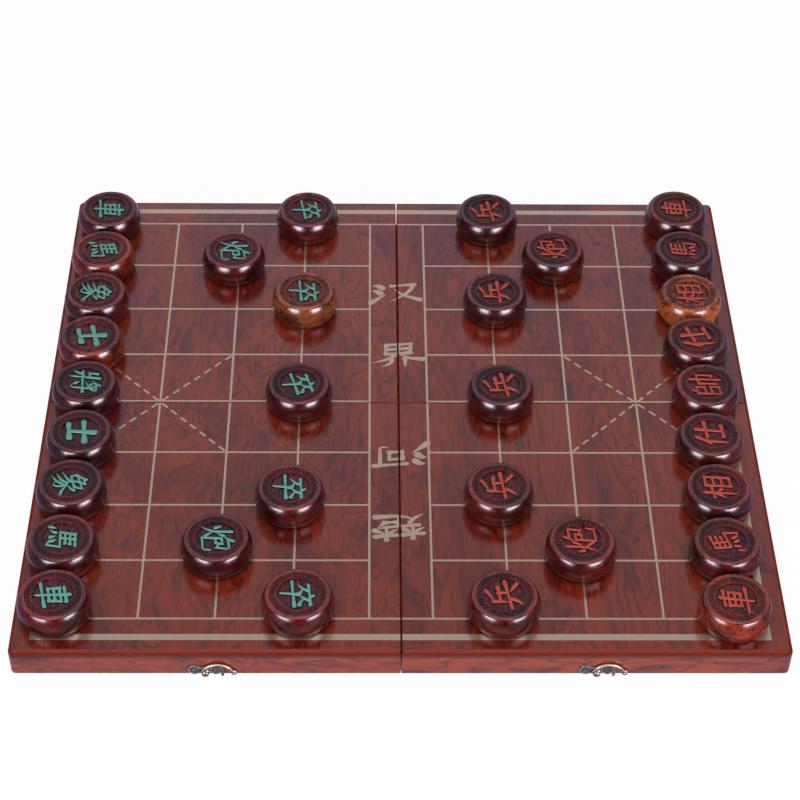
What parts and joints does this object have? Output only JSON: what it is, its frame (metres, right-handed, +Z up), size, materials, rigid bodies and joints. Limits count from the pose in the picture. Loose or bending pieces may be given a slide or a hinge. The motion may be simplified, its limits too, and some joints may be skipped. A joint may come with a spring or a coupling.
{
  "type": "xiangqi box set",
  "caption": "Xiangqi board made of two folding hinged storage cases side by side, set up with its carved round playing pieces.",
  "frame": {"origin": "on the table, under the crossing of the fold line and the middle of the river; the bottom centre of the bounding box", "axes": "+Z up, +X from the green side to the red side, +Y towards the back, away from the hooks"},
  "size_m": [0.503, 0.465, 0.0417],
  "materials": {
    "board_rosewood": "gloss lacquer",
    "rail_rosewood": "gloss lacquer",
    "piece_rosewood_green": "gloss lacquer",
    "piece_rosewood_red": "gloss lacquer",
    "brass": "satin",
    "antique_plate": "antiqued, dark",
    "antique_nickel": "rubbed antique nickel",
    "dark_steel_screw": "satin"
  },
  "bodies": {
    "left_back": {"left_back_panel": "board_rosewood", "left_back_frame": "rail_rosewood", "left_hinge_leaves_back": "brass", "left_hinge_pins": "brass", "left_catch_plate": "antique_plate", "left_catch_stud": "antique_nickel", "left_back_screws": "dark_steel_screw"},
    "left_front": {"left_front_panel": "board_rosewood", "left_front_frame": "rail_rosewood", "left_hinge_leaves_front": "brass", "left_clasp_plate": "antique_plate", "left_hook_rivet": "antique_nickel", "left_front_screws": "dark_steel_screw"},
    "left_hook": {"left_hook_arm": "antique_nickel"},
    "right_back": {"right_back_panel": "board_rosewood", "right_back_frame": "rail_rosewood", "right_hinge_leaves_back": "brass", "right_hinge_pins": "brass", "right_catch_plate": "antique_plate", "right_catch_stud": "antique_nickel", "right_back_screws": "dark_steel_screw"},
    "right_front": {"right_front_panel": "board_rosewood", "right_front_frame": "rail_rosewood", "right_hinge_leaves_front": "brass", "right_clasp_plate": "antique_plate", "right_hook_rivet": "antique_nickel", "right_front_screws": "dark_steel_screw"},
    "right_hook": {"right_hook_arm": "antique_nickel"},
    "green_adviser_back": {"green_adviser_back": "piece_rosewood_green"},
    "green_adviser_front": {"green_adviser_front": "piece_rosewood_green"},
    "green_cannon_back": {"green_cannon_back": "piece_rosewood_green"},
    "green_cannon_front": {"green_cannon_front": "piece_rosewood_green"},
    "green_chariot_back": {"green_chariot_back": "piece_rosewood_green"},
    "green_chariot_front": {"green_chariot_front": "piece_rosewood_green"},
    "green_elephant_back": {"green_elephant_back": "piece_rosewood_green"},
    "green_elephant_front": {"green_elephant_front": "piece_rosewood_green"},
    "green_general": {"green_general": "piece_rosewood_green"},
    "green_horse_back": {"green_horse_back": "piece_rosewood_green"},
    "green_horse_front": {"green_horse_front": "piece_rosewood_green"},
    "green_soldier_1": {"green_soldier_1": "piece_rosewood_green"},
    "green_soldier_2": {"green_soldier_2": "piece_rosewood_green"},
    "green_soldier_3": {"green_soldier_3": "piece_rosewood_green"},
    "green_soldier_4": {"green_soldier_4": "piece_rosewood_green"},
    "green_soldier_5": {"green_soldier_5": "piece_rosewood_green"},
    "red_adviser_back": {"red_adviser_back": "piece_rosewood_red"},
    "red_adviser_front": {"red_adviser_front": "piece_rosewood_red"},
    "red_cannon_back": {"red_cannon_back": "piece_rosewood_red"},
    "red_cannon_front": {"red_cannon_front": "piece_rosewood_red"},
    "red_chariot_back": {"red_chariot_back": "piece_rosewood_red"},
    "red_chariot_front": {"red_chariot_front": "piece_rosewood_red"},
    "red_elephant_back": {"red_elephant_back": "piece_rosewood_red"},
    "red_elephant_front": {"red_elephant_front": "piece_rosewood_red"},
    "red_general": {"red_general": "piece_rosewood_red"},
    "red_horse_back": {"red_horse_back": "piece_rosewood_red"},
    "red_horse_front": {"red_horse_front": "piece_rosewood_red"},
    "red_soldier_1": {"red_soldier_1": "piece_rosewood_red"},
    "red_soldier_2": {"red_soldier_2": "piece_rosewood_red"},
    "red_soldier_3": {"red_soldier_3": "piece_rosewood_red"},
    "red_soldier_4": {"red_soldier_4": "piece_rosewood_red"},
    "red_soldier_5": {"red_soldier_5": "piece_rosewood_red"}
  },
  "joints": [
    {"name": "right_case_slide", "type": "slide", "parent": "left_back", "child": "right_back", "axis": [1, 0, 0], "range_m": [0, 0.1]},
    {"name": "left_fold", "type": "hinge", "parent": "left_back", "child": "left_front", "pos_m": [-0.12595, 0, 0.00125], "axis": [1, 0, 0], "range_deg": [0, 180]},
    {"name": "left_hook_swing", "type": "hinge", "parent": "left_front", "child": "left_hook", "pos_m": [-0.12595, -0.228, 0.0042], "axis": [0, 1, 0], "range_deg": [-90, 90]},
    {"name": "right_fold", "type": "hinge", "parent": "right_back", "child": "right_front", "pos_m": [0.12595, 0, 0.00125], "axis": [1, 0, 0], "range_deg": [0, 180]},
    {"name": "right_hook_swing", "type": "hinge", "parent": "right_front", "child": "right_hook", "pos_m": [0.12595, -0.228, 0.0042], "axis": [0, 1, 0], "range_deg": [-90, 90]},
    {"name": "green_adviser_back_lift", "type": "slide", "parent": "left_back", "child": "green_adviser_back", "axis": [0, 0, 1], "range_m": [0, 0.05]},
    {"name": "green_adviser_front_lift", "type": "slide", "parent": "left_front", "child": "green_adviser_front", "axis": [0, 0, 1], "range_m": [0, 0.05]},
    {"name": "green_cannon_back_lift", "type": "slide", "parent": "left_back", "child": "green_cannon_back", "axis": [0, 0, 1], "range_m": [0, 0.05]},
    {"name": "green_cannon_front_lift", "type": "slide", "parent": "left_front", "child": "green_cannon_front", "axis": [0, 0, 1], "range_m": [0, 0.05]},
    {"name": "green_chariot_back_lift", "type": "slide", "parent": "left_back", "child": "green_chariot_back", "axis": [0, 0, 1], "range_m": [0, 0.05]},
    {"name": "green_chariot_front_lift", "type": "slide", "parent": "left_front", "child": "green_chariot_front", "axis": [0, 0, 1], "range_m": [0, 0.05]},
    {"name": "green_elephant_back_lift", "type": "slide", "parent": "left_back", "child": "green_elephant_back", "axis": [0, 0, 1], "range_m": [0, 0.05]},
    {"name": "green_elephant_front_lift", "type": "slide", "parent": "left_front", "child": "green_elephant_front", "axis": [0, 0, 1], "range_m": [0, 0.05]},
    {"name": "green_general_lift", "type": "slide", "parent": "left_back", "child": "green_general", "axis": [0, 0, 1], "range_m": [0, 0.05]},
    {"name": "green_horse_back_lift", "type": "slide", "parent": "left_back", "child": "green_horse_back", "axis": [0, 0, 1], "range_m": [0, 0.05]},
    {"name": "green_horse_front_lift", "type": "slide", "parent": "left_front", "child": "green_horse_front", "axis": [0, 0, 1], "range_m": [0, 0.05]},
    {"name": "green_soldier_1_lift", "type": "slide", "parent": "left_back", "child": "green_soldier_1", "axis": [0, 0, 1], "range_m": [0, 0.05]},
    {"name": "green_soldier_2_lift", "type": "slide", "parent": "left_back", "child": "green_soldier_2", "axis": [0, 0, 1], "range_m": [0, 0.05]},
    {"name": "green_soldier_3_lift", "type": "slide", "parent": "left_back", "child": "green_soldier_3", "axis": [0, 0, 1], "range_m": [0, 0.05]},
    {"name": "green_soldier_4_lift", "type": "slide", "parent": "left_front", "child": "green_soldier_4", "axis": [0, 0, 1], "range_m": [0, 0.05]},
    {"name": "green_soldier_5_lift", "type": "slide", "parent": "left_front", "child": "green_soldier_5", "axis": [0, 0, 1], "range_m": [0, 0.05]},
    {"name": "red_adviser_back_lift", "type": "slide", "parent": "right_back", "child": "red_adviser_back", "axis": [0, 0, 1], "range_m": [0, 0.05]},
    {"name": "red_adviser_front_lift", "type": "slide", "parent": "right_front", "child": "red_adviser_front", "axis": [0, 0, 1], "range_m": [0, 0.05]},
    {"name": "red_cannon_back_lift", "type": "slide", "parent": "right_back", "child": "red_cannon_back", "axis": [0, 0, 1], "range_m": [0, 0.05]},
    {"name": "red_cannon_front_lift", "type": "slide", "parent": "right_front", "child": "red_cannon_front", "axis": [0, 0, 1], "range_m": [0, 0.05]},
    {"name": "red_chariot_back_lift", "type": "slide", "parent": "right_back", "child": "red_chariot_back", "axis": [0, 0, 1], "range_m": [0, 0.05]},
    {"name": "red_chariot_front_lift", "type": "slide", "parent": "right_front", "child": "red_chariot_front", "axis": [0, 0, 1], "range_m": [0, 0.05]},
    {"name": "red_elephant_back_lift", "type": "slide", "parent": "right_back", "child": "red_elephant_back", "axis": [0, 0, 1], "range_m": [0, 0.05]},
    {"name": "red_elephant_front_lift", "type": "slide", "parent": "right_front", "child": "red_elephant_front", "axis": [0, 0, 1], "range_m": [0, 0.05]},
    {"name": "red_general_lift", "type": "slide", "parent": "right_back", "child": "red_general", "axis": [0, 0, 1], "range_m": [0, 0.05]},
    {"name": "red_horse_back_lift", "type": "slide", "parent": "right_back", "child": "red_horse_back", "axis": [0, 0, 1], "range_m": [0, 0.05]},
    {"name": "red_horse_front_lift", "type": "slide", "parent": "right_front", "child": "red_horse_front", "axis": [0, 0, 1], "range_m": [0, 0.05]},
    {"name": "red_soldier_1_lift", "type": "slide", "parent": "right_back", "child": "red_soldier_1", "axis": [0, 0, 1], "range_m": [0, 0.05]},
    {"name": "red_soldier_2_lift", "type": "slide", "parent": "right_back", "child": "red_soldier_2", "axis": [0, 0, 1], "range_m": [0, 0.05]},
    {"name": "red_soldier_3_lift", "type": "slide", "parent": "right_back", "child": "red_soldier_3", "axis": [0, 0, 1], "range_m": [0, 0.05]},
    {"name": "red_soldier_4_lift", "type": "slide", "parent": "right_front", "child": "red_soldier_4", "axis": [0, 0, 1], "range_m": [0, 0.05]},
    {"name": "red_soldier_5_lift", "type": "slide", "parent": "right_front", "child": "red_soldier_5", "axis": [0, 0, 1], "range_m": [0, 0.05]}
  ]
}
